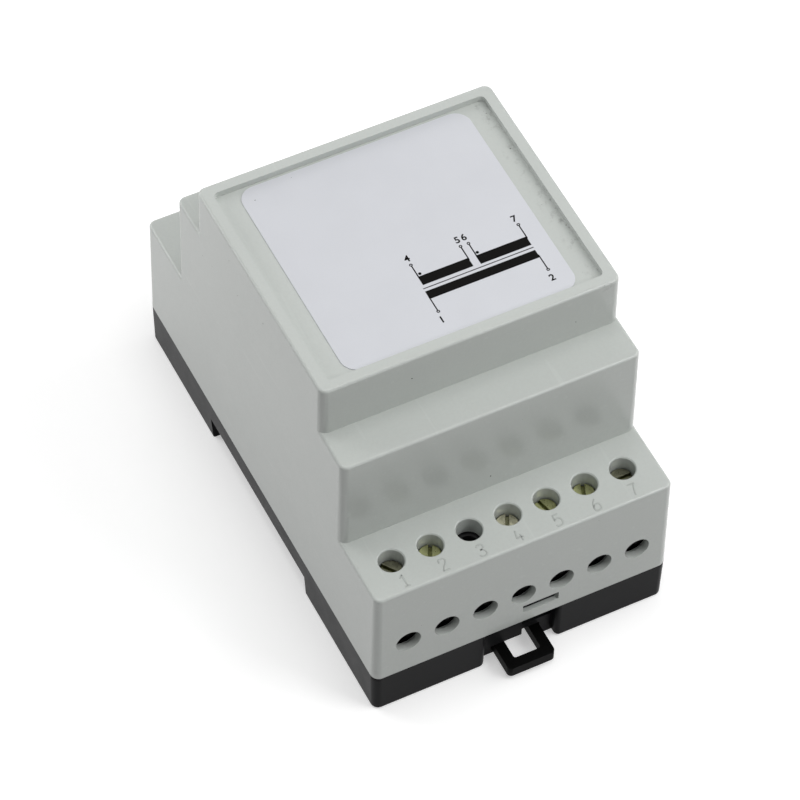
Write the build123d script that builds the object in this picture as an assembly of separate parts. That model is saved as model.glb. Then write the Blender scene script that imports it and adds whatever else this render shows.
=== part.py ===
from build123d import *
import os
from math import radians, tan

# Rail-mounted transformer in a stepped case, three modules wide, in millimetres.
# X runs across the case with terminal 1 at -X, Y runs along it with the terminals and
# the rail latch at -Y, and Z is up. The shapes are drawn from the middle of the case's
# underside and written out with their origin on the rail seat, on the rail's centre line.

# Case
case_width = 53.0
case_length = 86.1
base_height = 8.8
deck_height = 29.95
top_height = 59.4
nose_height = 10.2
tread_length = 60.9
nose_length = 45.5
wall = 1.9
draft = 0.6
base_draft = 1.2
corner_radius = 1.5
inner_corner_radius = 0.4
edge_radius = 0.5
fit_gap = 0.15

# Top recess and label
rim_width = 2.0
recess_depth = 1.2
recess_corner_radius = 0.9
label_margin = 0.44
label_thickness = 0.12
label_corner_radius = 2.8

# Terminals, counted from -X; position 3 carries no screw
terminal_count = 7
terminal_margin = 6.01
slot_angle = {1: 126, 2: 62, 4: 62, 5: 105, 6: 68, 7: 0}
screw_setback = 6.65
deck_hole_radius = 2.125
wire_hole_radius = 2.2
wire_height = 16.2
wire_hole_wall = 1.2
wire_relief_radius = 2.75
collar_depth = 3.5
collar_wall = 0.8
collar_gap = 0.15
hole_edge = 0.2
edge_tolerance = 0.05

# Stiffening ribs inside the cover's long walls
rib_depth = 0.9
rib_width = 1.2
rib_spacing = 20.0
rib_count = 3

# Snap tongues of the base and their windows in the cover
snap_offset = 3.25
window_width = 6.5
window_rise = 2.35
window_height = 1.8
tongue_width = 5.8
tongue_thickness = 0.9
tongue_web = 1.25
tongue_step = 0.5
tongue_lead = 0.5
hook_reach = 1.3
hook_face = 0.7
hook_clearance = 0.1
slit_gap = 0.4

# Base and rail channel
rail_offset = 0.8
seat_height = 4.45
channel_length = 36.0
channel_front_lean = 0.45
channel_rear_undercut = 0.65
rail_width = 35.0
rail_flange = 1.0
floor_wall = 1.9
channel_wall = 1.9
skirt_height = 2.2
skirt_thickness = 1.0
foot_step = 1.2
hook_gap = 0.15
hook_height = 2.9
hook_overlap = 1.2
hook_inner = 8.0
hook_outer = 20.0
notch_left = 6.3
notch_right = 6.45
notch_depth = 1.95
notch_edge_radius = 0.9
shield_right = 0.65
shield_thickness = 0.9

# Rail latch and its spring
latch_width = 8.5
latch_thickness = 2.05
latch_bottom = 1.0
latch_reach = 4.15
latch_lip = 1.8
latch_hole_width = 4.8
latch_hole_length = 7.2
latch_hole_corner = 0.4
latch_overlap = 1.3
latch_ramp = 2.2
latch_nose_edge = 0.9
latch_corner_radius = 0.8
latch_travel = 3.5
latch_top_gap = 0.3
guide_lip = 1.0
ear_reach = 1.85
ear_length = 4.0
ear_setback = 2.8
ear_side_gap = 0.3
ear_end_gap = 0.2
spring_length = 11.6
spring_diameter = 2.4
spring_wire = 0.35
spring_turns = 8
spring_wall = 3.0
spring_rib = 1.4
spring_rib_width = 2.4
spring_slot_width = 3.0
spring_stop_gap = 0.1

# Circuit board, its posts and the core pillars
solder_space = 2.25
board_thickness = 1.6
board_gap = 0.35
board_post_radius = 2.0
board_peg_radius = 0.9
board_hole_gap = 0.1
board_post_inset = 3.45
board_post_y = (-36.0, -12.0, 14.0)
pillar_radius = 3.2
pillar_hole_gap = 0.3
pilot_radius = 1.5
pilot_depth = 10.0
pin_tail = 1.2

# Terminal block and clamps
block_gap = 0.3
block_top_gap = 0.45
block_depth = 8.75
nose_rise = 0.4
cage_width = 5.4
cage_depth = 5.0
cage_side = 0.5
cage_floor = 0.8
cage_roof = 1.3
cage_gap = 0.15
clamp_opening = 4.6
shelf_thickness = 0.95
cage_hole_gap = 0.05
funnel_flare = 0.4
contact_width = 3.8
contact_thickness = 0.8
contact_gap = 0.05
contact_roof_gap = 0.2
contact_leg_gap = 0.4
contact_seat = 0.4
contact_pin = 0.9
screw_head_depth = 2.55
screw_head_radius = 1.95
screw_head_height = 1.5
screw_radius = 1.5
screw_bore_gap = 0.15
screw_end_gap = 0.05
slot_width = 0.6
slot_depth = 0.8
head_edge = 0.15

# Transformer: E and I laminations, six limbs long and five yokes wide
core_side_gap = 4.0
core_end_gap = 3.45
core_roof_gap = 5.7
core_hole_radius = 1.7
core_screw_radius = 1.45
core_screw_head_radius = 2.75
core_screw_head = 2.0
core_screw_slot = 0.8
core_screw_grip = 8.0
bobbin_gap = 0.15
bobbin_wall = 0.85
bobbin_corner = 1.0
flange_thickness = 1.2
flange_gap = 0.2
flange_height = 7.7
divider = 1.2
winding_gap = 1.2
secondary_build_1 = 3.2
secondary_build_2 = 3.0
interlayer = 0.2
outer_tape = 0.3
pin_rail_depth = 4.4
pin_rail_length = 28.0
pin_rail_height = 3.4
pin_setback = 1.9
pin_size = 0.8
pin_pitch = 5.0
pins_per_rail = 5
pin_grip = 2.6
fuse_width = 5.0
fuse_length = 9.0
fuse_height = 2.0
fuse_edge_radius = 0.5

# Levels and faces that several pieces share
half_width = case_width / 2
half_length = case_length / 2
tread_height = top_height - nose_height
roof = top_height - recess_depth - wall
recess_half_width = half_width - rim_width
recess_half_length = nose_length / 2 - rim_width
inner_front = -(half_length - wall)
tray_half_width = half_width - wall - fit_gap - skirt_thickness
tray_half_length = half_length - wall - fit_gap - skirt_thickness
tray_floor = seat_height + floor_wall
board_post_x = tray_half_width - board_post_inset
board_bottom = tray_floor + solder_space
board_top = board_bottom + board_thickness
channel_front = rail_offset - channel_length / 2
channel_rear = rail_offset + channel_length / 2
rail_front = rail_offset - rail_width / 2
rail_rear = rail_offset + rail_width / 2
flange_underside = seat_height - rail_flange
window_bottom = base_height + window_rise
window_top = window_bottom + window_height
window_half = window_width / 2

latch_top = latch_bottom + latch_thickness
latch_front = -(half_length + latch_reach)
latch_half = latch_width / 2
slot_half = latch_half + fit_gap
slot_bottom = latch_bottom - fit_gap
slot_top = latch_top + latch_top_gap
ear_half = latch_half + ear_reach
ear_rear = channel_front - ear_setback
ear_front = ear_rear - ear_length
spring_rear = ear_rear - spring_wall
spring_front = spring_rear - spring_length
notch_back = -(half_length - notch_depth)
tongue_base = slot_top + tongue_web

limb = (tread_length - 2 * core_end_gap) / 6
yoke = (case_width - 2 * core_side_gap) / 5
coil_reach = flange_height + bobbin_wall + bobbin_gap
stack_height = roof - core_roof_gap - board_top - 2 * coil_reach
core_level = board_top + coil_reach + stack_height / 2
core_bottom = core_level - stack_height / 2
core_top = core_level + stack_height / 2
core_hole_x = 2 * yoke
core_hole_y = 2.5 * limb
chamber = 1.5 * yoke - flange_gap - flange_thickness
half_divider = divider / 2
primary_build = limb - bobbin_gap - bobbin_wall - outer_tape - winding_gap

fitted_terminals = tuple(slot_angle)
terminal_pitch = (case_width - 2 * terminal_margin) / (terminal_count - 1)
screw_y = -(half_length - screw_setback)
head_top = deck_height - screw_head_depth
shelf_level = head_top - screw_head_height
collar_bottom = deck_height - collar_depth
collar_radius = deck_hole_radius + collar_wall
block_top = deck_height - wall - block_top_gap
block_front = -(tray_half_length - board_gap)
cage_floor_top = wire_height - clamp_opening / 2
bar_bottom = wire_height + clamp_opening / 2
bar_top = bar_bottom + contact_thickness
cage_inner_top = bar_top + contact_roof_gap
cage_top = cage_inner_top + cage_roof
cage_bottom = cage_floor_top - cage_floor
pocket_bottom = cage_bottom - cage_gap
pocket_top = shelf_level - shelf_thickness
pocket_half_width = cage_width / 2 + cage_gap
pocket_half_depth = cage_depth / 2 + cage_gap
leg_front = screw_y + cage_depth / 2 + contact_leg_gap
leg_rear = leg_front + contact_thickness


def block(x0, x1, y0, y1, z0, z1):
    """Box between six planes."""
    middle = Pos((x0 + x1) / 2, (y0 + y1) / 2, (z0 + z1) / 2)
    return middle * Box(x1 - x0, y1 - y0, z1 - z0)


def post(x, y, z0, z1, radius):
    """Upright round post."""
    return Pos(x, y, (z0 + z1) / 2) * Cylinder(radius, z1 - z0)


def side_profile(points, x0, x1):
    """Outline in the Y-Z plane, run across the case from x0 to x1."""
    outline = make_face(Plane.YZ.offset(x0) * Polyline(*points, close=True))
    return extrude(outline, amount=x1 - x0, dir=(1, 0, 0))


def ring(x0, x1, inner, outer):
    """Wrap round the bobbin's tube, from one distance off its surface to another."""
    half_y = limb + bobbin_gap + bobbin_wall
    half_z = stack_height / 2 + bobbin_gap + bobbin_wall
    plane = Plane.YZ.offset(x0) * Pos(0, core_level)
    rim = RectangleRounded(2 * (half_y + outer), 2 * (half_z + outer), bobbin_corner + outer)
    hole = RectangleRounded(2 * (half_y + inner), 2 * (half_z + inner), bobbin_corner + inner)
    return extrude(plane * (rim - hole), amount=x1 - x0, dir=(1, 0, 0))


def turned(shape):
    """The same shape at the other end of the case."""
    return Rot(0, 0, 180) * shape


def terminal_x(number):
    return (number - (terminal_count + 1) / 2) * terminal_pitch


def lean(rise):
    """How far a drafted wall of the cover moves inwards over a rise."""
    return rise * tan(radians(draft))


def case_step(length, foot, top, inset=0.0):
    """One drafted step of the case, its length given at its foot and drawn up from the parting line."""
    across = half_width - inset
    along = length / 2 + lean(foot - base_height) - inset
    least = inner_corner_radius + lean(top - base_height)
    radius = max(corner_radius + lean(foot - base_height) - inset, least)
    outline = Pos(0, 0, base_height) * RectangleRounded(2 * across, 2 * along, radius)
    return extrude(outline, amount=top - base_height, taper=draft)


def rounded_top(step, radius):
    return fillet(step.faces().sort_by(Axis.Z)[-1].edges(), radius)


# Cover: three drafted steps, hollowed by the same three steps one wall further in
def make_cover():
    outer = rounded_top(case_step(case_length, base_height, deck_height), edge_radius)
    outer += rounded_top(case_step(tread_length, deck_height, tread_height), edge_radius)
    outer += rounded_top(case_step(nose_length, tread_height, top_height), edge_radius)
    inner = case_step(case_length, base_height, deck_height - wall, wall)
    inner += case_step(tread_length, deck_height, tread_height - wall, wall)
    inner += case_step(nose_length, tread_height, roof, wall)

    across = recess_half_width - lean(top_height - base_height)
    along = recess_half_length - lean(top_height - tread_height)
    recess = extrude(
        Pos(0, 0, top_height) * RectangleRounded(2 * across, 2 * along, recess_corner_radius),
        amount=-recess_depth,
    )

    ribs = Part()
    for index in range(rib_count):
        y = (index - (rib_count - 1) / 2) * rib_spacing
        ribs += block(
            -half_width, half_width,
            y - rib_width / 2, y + rib_width / 2,
            base_height + skirt_height + fit_gap, tread_height - wall,
        )
    ribs -= block(
        -(half_width - wall - rib_depth), half_width - wall - rib_depth,
        -half_length, half_length, base_height, top_height,
    )
    cover = outer - (inner - ribs) - recess

    # Screw holes in collars under the deck, and wire holes in a thinner wall
    wire_face = -half_length + lean(wire_height - base_height)
    holes = Part()
    for number in range(1, terminal_count + 1):
        x = terminal_x(number)
        cover += post(x, screw_y, collar_bottom, deck_height - wall / 2, collar_radius)
        holes += post(x, screw_y, collar_bottom, deck_height + wall, deck_hole_radius)
        entry = Rot(90, 0, 0) * Cylinder(wire_hole_radius, 4 * wall)
        holes += Pos(x, wire_face, wire_height) * entry
        relief = Rot(90, 0, 0) * Cylinder(wire_relief_radius, wall)
        holes += Pos(x, wire_face + wire_hole_wall + wall / 2, wire_height) * relief
    cover -= holes
    deck_rims = [
        edge
        for edge in cover.edges().filter_by(GeomType.CIRCLE)
        if abs(edge.center().Z - deck_height) < edge_tolerance
        and abs(edge.radius - deck_hole_radius) < edge_tolerance
    ]
    cover = chamfer(deck_rims, hole_edge)

    window = block(
        snap_offset - window_half, snap_offset + window_half,
        -half_length - wall, inner_front + wall, window_bottom, window_top,
    )
    return cover - window - turned(window)


# Base: tray with a skirt inside the cover, two hollow feet and the rail channel between them
def base_body():
    outline = Pos(0, 0, base_height) * RectangleRounded(case_width, case_length, corner_radius)
    body = extrude(outline, amount=base_height, dir=(0, 0, -1), taper=base_draft)
    body = fillet(body.faces().sort_by(Axis.Z)[0].edges(), edge_radius)
    body -= block(
        -tray_half_width, tray_half_width, -tray_half_length, tray_half_length, tray_floor, base_height
    )

    skirt_outer = wall + fit_gap
    skirt = Pos(0, 0, base_height) * RectangleRounded(
        case_width - 2 * skirt_outer, case_length - 2 * skirt_outer, inner_corner_radius
    )
    skirt -= Pos(0, 0, base_height) * Rectangle(2 * tray_half_width, 2 * tray_half_length)
    skirt = extrude(skirt, amount=skirt_height)
    gap = block(
        snap_offset - window_half - slit_gap, snap_offset + window_half + slit_gap,
        -half_length, -tray_half_length + skirt_thickness, base_height, base_height + skirt_height,
    )
    body += skirt - gap - turned(gap)

    channel = side_profile(
        [
            (channel_front - channel_front_lean, 0),
            (channel_front, seat_height),
            (channel_rear, seat_height),
            (channel_rear - channel_rear_undercut, 0),
        ],
        -case_width, case_width,
    )
    body -= channel
    pocket_front = -(tray_half_length - foot_step)
    pocket_inner = ear_half + ear_side_gap + channel_wall
    for side in (-1, 1):
        inner, outer = sorted((side * pocket_inner, side * tray_half_width))
        body -= block(
            inner, outer, pocket_front, channel_front - channel_wall, floor_wall, tray_floor
        )
    body -= block(
        -tray_half_width, tray_half_width,
        channel_rear + channel_wall, -pocket_front, floor_wall, tray_floor,
    )
    return body


def floor_under(y):
    """Level inside the floor at y: low in the two feet and high over the channel."""
    if channel_front - channel_wall < y < channel_rear + channel_wall:
        return seat_height + floor_wall / 2
    return floor_wall / 2


def snap_tongue():
    """Upright tongue with an outward hook, at the terminal end."""
    outer = inner_front + fit_gap
    root = outer + tongue_step
    top = window_top + tongue_lead
    hook_bottom = window_bottom + hook_clearance
    points = [
        (root, tongue_base),
        (root, base_height - 2 * tongue_step),
        (outer, base_height),
        (outer, hook_bottom),
        (outer - hook_reach, hook_bottom),
        (outer - hook_reach, hook_bottom + hook_face),
        (outer, window_top - hook_clearance),
        (outer, top),
        (outer + tongue_thickness, top),
        (outer + tongue_thickness, base_height),
        (root + tongue_thickness, base_height - 2 * tongue_step),
        (root + tongue_thickness, tongue_base),
    ]
    half = tongue_width / 2
    return side_profile(points, snap_offset - half, snap_offset + half)


def make_base():
    body = base_body()

    # Notch over the latch, with a shield plate left in its -X half
    front = -half_length - wall
    body -= block(-notch_left, notch_right, front, notch_back, 0, base_height)
    corners = [
        edge
        for edge in body.edges()
        if edge.length > base_height / 2
        and edge.center().Y < notch_back - notch_depth / 2
        and min(abs(edge.center().X + notch_left), abs(edge.center().X - notch_right)) < edge_tolerance
    ]
    body = fillet(corners, notch_edge_radius)
    body += block(
        -notch_left, shield_right, notch_back - shield_thickness, notch_back, slot_top, base_height
    )

    # Snap tongues in their slits
    slit = block(
        snap_offset - tongue_width / 2 - slit_gap, snap_offset + tongue_width / 2 + slit_gap,
        inner_front, inner_front + 2 * (tongue_thickness + tongue_step), tongue_base, base_height,
    )
    body -= slit
    body -= turned(slit)
    tongue = snap_tongue()
    body += tongue
    body += turned(tongue)

    # Latch guide: a slot with lips below, pockets for the ears and a rib for the spring
    body -= block(-slot_half, slot_half, front, channel_front, slot_bottom, slot_top)
    opening = slot_half - guide_lip
    body -= block(-opening, opening, front, ear_rear, 0, slot_bottom)
    pocket = ear_half + ear_side_gap
    body -= block(
        -pocket, pocket,
        ear_front - latch_travel - ear_end_gap, ear_rear + ear_end_gap, 0, slot_top,
    )
    body += block(
        -spring_rib_width / 2, spring_rib_width / 2,
        spring_front - spring_rib, spring_front, latch_bottom + fit_gap, slot_top,
    )

    # Fixed hooks behind the rail's far edge
    hook_top = flange_underside - hook_gap
    hook_tip = rail_rear - hook_overlap
    hook_root = channel_rear + channel_wall / 2
    hook = [
        (hook_root, hook_top),
        (hook_tip, hook_top),
        (hook_tip, hook_top - hook_height / 2),
        (channel_rear - channel_rear_undercut, hook_top - hook_height),
        (hook_root, hook_top - hook_height),
    ]
    body += side_profile(hook, hook_inner, hook_outer)
    body += side_profile(hook, -hook_outer, -hook_inner)

    # Posts for the board and pillars for the core
    for x in (-board_post_x, board_post_x):
        for y in board_post_y:
            body += post(x, y, floor_under(y), board_bottom, board_post_radius)
            body += post(x, y, board_bottom, board_top - board_hole_gap, board_peg_radius)
    for x in (-core_hole_x, core_hole_x):
        for y in (-core_hole_y, core_hole_y):
            body += post(x, y, floor_under(y), core_bottom, pillar_radius)
            body -= post(x, y, core_bottom - pilot_depth, core_bottom, pilot_radius)
    return body - block(-case_width, case_width, -case_length, case_length, -base_height, 0)


# Rail latch: flat slide with a screwdriver hole, a spring slot, two ears and a ramped nose
def make_latch():
    nose_tip = rail_front + latch_overlap
    plate = block(-latch_half, latch_half, latch_front, ear_rear, latch_bottom, latch_top)
    plate = fillet(plate.edges().filter_by(Axis.Z).group_by(Axis.Y)[0], latch_corner_radius)
    nose = side_profile(
        [
            (ear_rear, latch_bottom),
            (nose_tip - latch_ramp, latch_bottom),
            (nose_tip, latch_top - latch_nose_edge),
            (nose_tip, latch_top),
            (ear_rear, latch_top),
        ],
        -latch_half, latch_half,
    )
    ears = block(-ear_half, ear_half, ear_front, ear_rear, latch_bottom, latch_top)
    latch = plate + nose + ears
    hole_front = latch_front + latch_lip
    hole_middle = hole_front + latch_hole_length / 2
    hole = Pos(0, hole_middle, latch_bottom) * RectangleRounded(
        latch_hole_width, latch_hole_length, latch_hole_corner
    )
    latch -= extrude(hole, amount=latch_thickness)
    latch -= block(
        -spring_slot_width / 2, spring_slot_width / 2,
        spring_front - spring_rib - spring_stop_gap, spring_rear, latch_bottom, latch_top,
    )
    return latch


def make_spring():
    mean = (spring_diameter - spring_wire) / 2
    run = spring_length - spring_wire
    middle = slot_top - spring_diameter / 2 - contact_gap
    start = (0, spring_front + spring_wire / 2, middle)
    path = Helix(run / spring_turns, run, mean, center=start, direction=(0, 1, 0))
    section = Plane(path @ 0, z_dir=path % 0) * RegularPolygon(spring_wire / 2, 6)
    return sweep(section, path=path)


# Label on the floor of the recess
def make_label():
    floor = Pos(0, 0, top_height - recess_depth)
    size = 2 * (recess_half_length - lean(top_height - tread_height) - label_margin)
    sheet = RectangleRounded(size, size, label_corner_radius)
    return extrude(floor * sheet, amount=label_thickness)


def make_board():
    half = tray_half_width - board_gap
    rear = core_hole_y - pillar_radius - board_gap
    board = block(-half, half, block_front, rear, board_bottom, board_top)
    for x in (-board_post_x, board_post_x):
        for y in board_post_y:
            board -= post(x, y, board_bottom, board_top, board_peg_radius + board_hole_gap)
    for x in (-core_hole_x, core_hole_x):
        board -= post(x, -core_hole_y, board_bottom, board_top, pillar_radius + pillar_hole_gap)
    return board - transformer_pins(board_hole_gap) - contact_pins()


def contact_pins():
    """Room in the board for the contacts' solder pins."""
    pins = Part()
    half = contact_pin / 2
    for number in fitted_terminals:
        x = terminal_x(number)
        pins += block(x - half, x + half, leg_front, leg_rear, board_bottom - pin_tail, board_top)
    return pins


def transformer_pins(room=0.0):
    """The bobbin's solder pins, or the room for them in the board."""
    pins = Part()
    half = pin_size / 2 + room
    setback = 1.5 * yoke - flange_gap - flange_thickness + pin_rail_depth - pin_setback
    for side in (-1, 1):
        for index in range(pins_per_rail):
            x = side * setback
            y = (index - (pins_per_rail - 1) / 2) * pin_pitch
            pins += block(
                x - half, x + half, y - half, y + half, board_bottom - pin_tail, board_top + pin_grip
            )
    return pins


# Terminal block: seven cells side by side, each with a pocket for its cage
def make_terminal_block():
    foot_half = tray_half_width - fit_gap - block_gap / 2
    wall_lean = lean(block_top - base_height)
    upper_half = half_width - wall - wall_lean - block_gap
    nose_front = inner_front + wall_lean + block_gap
    nose_bottom = window_top + tongue_lead + nose_rise
    block_rear = block_front + block_depth
    step = base_height + skirt_height + block_gap
    body = block(-foot_half, foot_half, block_front, block_rear, board_top, step)
    body += block(-upper_half, upper_half, block_front, block_rear, step, block_top)
    body += block(-upper_half, upper_half, nose_front, block_front, nose_bottom, block_top)

    slot_half_width = contact_width / 2 + contact_gap
    rest = screw_y - pocket_half_depth - contact_seat - contact_gap
    for number in range(1, terminal_count + 1):
        x = terminal_x(number)
        body -= block(
            x - pocket_half_width, x + pocket_half_width,
            screw_y - pocket_half_depth, screw_y + pocket_half_depth, pocket_bottom, pocket_top,
        )
        body -= block(
            x - slot_half_width, x + slot_half_width,
            rest, leg_rear + contact_gap, bar_bottom - contact_gap, bar_top + contact_gap,
        )
        body -= block(
            x - slot_half_width, x + slot_half_width,
            leg_front - contact_gap, leg_rear + contact_gap, board_top, bar_top,
        )
        body -= post(x, screw_y, pocket_top, shelf_level, screw_radius + screw_bore_gap)
        body -= post(x, screw_y, shelf_level, block_top, screw_head_radius + screw_bore_gap)
        body -= post(x, screw_y, collar_bottom - collar_gap, block_top, collar_radius + collar_gap)
        depth = screw_y - pocket_half_depth - nose_front
        funnel = Cone(wire_hole_radius, wire_hole_radius + funnel_flare, depth)
        body -= Pos(x, nose_front + depth / 2, wire_height) * Rot(90, 0, 0) * funnel
    return body


def make_terminal_screw(number):
    """Slotted screw that bears on its shelf in the block and turns in the cage's roof."""
    x = terminal_x(number)
    head = post(x, screw_y, shelf_level, head_top, screw_head_radius)
    head = chamfer(head.edges().sort_by(Axis.Z)[-1], head_edge)
    slot = Box(3 * screw_head_radius, slot_width, 2 * slot_depth)
    head -= Pos(x, screw_y, head_top) * Rot(0, 0, slot_angle[number]) * slot
    return head + post(x, screw_y, bar_top + screw_end_gap, shelf_level, screw_radius)


def make_cage(number):
    """Rising cage: a square tube open to the wire, with the screw through its roof."""
    x = terminal_x(number)
    half = cage_width / 2
    front = screw_y - cage_depth / 2
    rear = screw_y + cage_depth / 2
    cage = block(x - half, x + half, front, rear, cage_bottom, cage_top)
    cage -= block(
        x - half + cage_side, x + half - cage_side, front, rear, cage_floor_top, cage_inner_top
    )
    return cage - post(x, screw_y, cage_inner_top, cage_top, screw_radius + cage_hole_gap)


def make_contact(number):
    """Fixed bar above the wire, bent down behind the cage into a solder pin."""
    x = terminal_x(number)
    half = contact_width / 2
    front = screw_y - pocket_half_depth - contact_seat
    bar = block(x - half, x + half, front, leg_rear, bar_bottom, bar_top)
    leg = block(x - half, x + half, leg_front, leg_rear, board_top, bar_top)
    pin = contact_pin / 2
    tail = block(x - pin, x + pin, leg_front, leg_rear, board_bottom - pin_tail, board_top)
    return bar + leg + tail


# Transformer on its back: limbs along X, the I stack at +X
def core_holes(x_side):
    holes = Part()
    for y in (-core_hole_y, core_hole_y):
        holes += post(x_side * core_hole_x, y, core_bottom, core_top, core_hole_radius)
    return holes


def make_core_e():
    back = -2.5 * yoke
    stack = block(back, 1.5 * yoke, -3 * limb, 3 * limb, core_bottom, core_top)
    for side in (-1, 1):
        y0, y1 = sorted((side * limb, side * 2 * limb))
        stack -= block(-1.5 * yoke, 1.5 * yoke, y0, y1, core_bottom, core_top)
    return stack - core_holes(-1)


def make_core_i():
    stack = block(1.5 * yoke, 2.5 * yoke, -3 * limb, 3 * limb, core_bottom, core_top)
    return stack - core_holes(1)


def make_core_screws():
    screws = Part()
    for x in (-core_hole_x, core_hole_x):
        for y in (-core_hole_y, core_hole_y):
            shank = post(x, y, core_bottom - core_screw_grip, core_top, core_screw_radius)
            head = post(x, y, core_top, core_top + core_screw_head, core_screw_head_radius)
            slot = Box(3 * core_screw_head_radius, core_screw_slot, core_screw_head)
            head -= Pos(x, y, core_top + core_screw_head) * slot
            screws += shank + head
    return screws


def make_bobbin():
    end = 1.5 * yoke - flange_gap
    body = ring(-end, end, -bobbin_wall, 0)
    flange_y = 2 * limb - flange_gap
    flange_z = stack_height / 2 + bobbin_gap + bobbin_wall + flange_height
    for x0, x1 in (
        (-end, -end + flange_thickness),
        (-half_divider, half_divider),
        (end - flange_thickness, end),
    ):
        flange = block(
            x0, x1, -flange_y, flange_y, core_level - flange_z, core_level + flange_z
        )
        inner_y = limb + bobbin_gap
        inner_z = stack_height / 2 + bobbin_gap
        body += flange - block(
            x0, x1, -inner_y, inner_y, core_level - inner_z, core_level + inner_z
        )
    for side in (-1, 1):
        x0, x1 = sorted((side * (end - flange_thickness), side * (end - flange_thickness + pin_rail_depth)))
        half = pin_rail_length / 2
        body += block(x0, x1, -half, half, board_top, board_top + pin_rail_height)
    return body - transformer_pins()


def make_fuse():
    half_z = stack_height / 2 + bobbin_gap + bobbin_wall
    level = core_level + half_z + primary_build + outer_tape
    middle = -(chamber + half_divider) / 2
    body = block(
        middle - fuse_width / 2, middle + fuse_width / 2,
        -fuse_length / 2, fuse_length / 2, level, level + fuse_height,
    )
    return fillet(body.edges().filter_by(Axis.Y), fuse_edge_radius)


def make_pieces():
    inner_end = secondary_build_1
    middle_end = inner_end + interlayer
    outer_end = middle_end + secondary_build_2
    pieces = {
        "cover": make_cover(),
        "base": make_base(),
        "rail_latch": make_latch(),
        "latch_spring": make_spring(),
        "label": make_label(),
        "circuit_board": make_board(),
        "terminal_block": make_terminal_block(),
        "core_e": make_core_e(),
        "core_i": make_core_i(),
        "core_screws": make_core_screws(),
        "bobbin": make_bobbin(),
        "bobbin_pins": transformer_pins(),
        "primary_winding": ring(-chamber, -half_divider, 0, primary_build),
        "primary_tape": ring(-chamber, -half_divider, primary_build, primary_build + outer_tape),
        "secondary_winding_1": ring(half_divider, chamber, 0, inner_end),
        "interlayer_tape": ring(half_divider, chamber, inner_end, middle_end),
        "secondary_winding_2": ring(half_divider, chamber, middle_end, outer_end),
        "secondary_tape": ring(half_divider, chamber, outer_end, outer_end + outer_tape),
        "thermal_fuse": make_fuse(),
    }
    for number in fitted_terminals:
        pieces[f"terminal_screw_{number}"] = make_terminal_screw(number)
        pieces[f"clamp_cage_{number}"] = make_cage(number)
        pieces[f"terminal_contact_{number}"] = make_contact(number)
    return pieces


rail_frame = Location((0, -rail_offset, -seat_height))
os.makedirs("parts", exist_ok=True)
for name, shape in make_pieces().items():
    export_step(shape.moved(rail_frame), f"parts/{name}.step")
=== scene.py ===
from math import cos, radians, sin

import bpy
from mathutils import Matrix, Vector


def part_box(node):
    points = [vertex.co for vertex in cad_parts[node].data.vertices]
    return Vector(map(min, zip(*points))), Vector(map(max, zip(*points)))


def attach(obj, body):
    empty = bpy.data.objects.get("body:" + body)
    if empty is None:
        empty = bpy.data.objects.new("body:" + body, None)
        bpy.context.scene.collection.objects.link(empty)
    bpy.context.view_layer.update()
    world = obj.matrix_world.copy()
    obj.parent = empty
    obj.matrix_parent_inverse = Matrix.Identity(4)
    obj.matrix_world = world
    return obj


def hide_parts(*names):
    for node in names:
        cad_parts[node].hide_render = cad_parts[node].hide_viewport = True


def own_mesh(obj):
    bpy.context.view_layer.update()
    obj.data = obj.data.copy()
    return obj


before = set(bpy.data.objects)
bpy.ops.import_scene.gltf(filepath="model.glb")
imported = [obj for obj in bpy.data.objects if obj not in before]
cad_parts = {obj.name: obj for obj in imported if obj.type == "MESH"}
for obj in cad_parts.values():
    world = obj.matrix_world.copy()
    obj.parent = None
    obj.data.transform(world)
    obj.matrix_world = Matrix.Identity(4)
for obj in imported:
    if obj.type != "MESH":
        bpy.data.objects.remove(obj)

bl_info = {
    "name": "Rail transformer looks",
    "version": (1, 0, 0),
    "blender": (4, 5, 0),
    "location": "3D View > Sidebar > Transformer",
    "description": "Dresses the packed rail transformer with its finishes, print and stage",
    "category": "Object",
}

# Case frame: millimetres from the middle of the case's underside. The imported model's origin
# is on the rail seat, so its cover and base give the way from one to the other.
MM = 0.001
cover_low, cover_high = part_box("cover")
base_low, base_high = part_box("base")
label_low, label_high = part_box("label")
middle_y = (cover_low.y + cover_high.y) / 2
underside = base_low.z

# The positions that have a screw, out of seven at this pitch
fitted = (1, 2, 4, 5, 6, 7)
pitch = 6.83
deck_level = 29.95


def case_point(x, y, z):
    """A point of the case frame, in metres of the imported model's frame."""
    return Vector((x * MM, y * MM + middle_y, z * MM + underside))


def hole_x(number):
    return (number - 4) * pitch


def linear(colour):
    """Display colour to the shader's linear one."""
    parts = (
        part / 12.92 if part <= 0.04045 else ((part + 0.055) / 1.055) ** 2.4
        for part in colour
    )
    return (*parts, 1.0)


def shade(colour, factor):
    """The linear colour, made lighter or darker by a factor."""
    return (*(min(1.0, part * factor) for part in linear(colour)[:3]), 1.0)


# Sizes and colours that a user would change
def length(name, description, default, top=0.1):
    return bpy.props.FloatProperty(
        name=name, description=description, default=default, min=0.0, max=top,
        precision=5, subtype="DISTANCE", unit="LENGTH",
    )


def colour(name, description, default):
    return bpy.props.FloatVectorProperty(
        name=name, description=description, default=default, min=0.0, max=1.0,
        size=3, subtype="COLOR_GAMMA",
    )


def share(name, description, default):
    return bpy.props.FloatProperty(
        name=name, description=description, default=default, min=0.0, max=1.0, subtype="FACTOR",
    )


def power(name, description, default):
    return bpy.props.FloatProperty(
        name=name, description=description, default=default, min=0.0, max=50.0, unit="POWER",
    )


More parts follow.
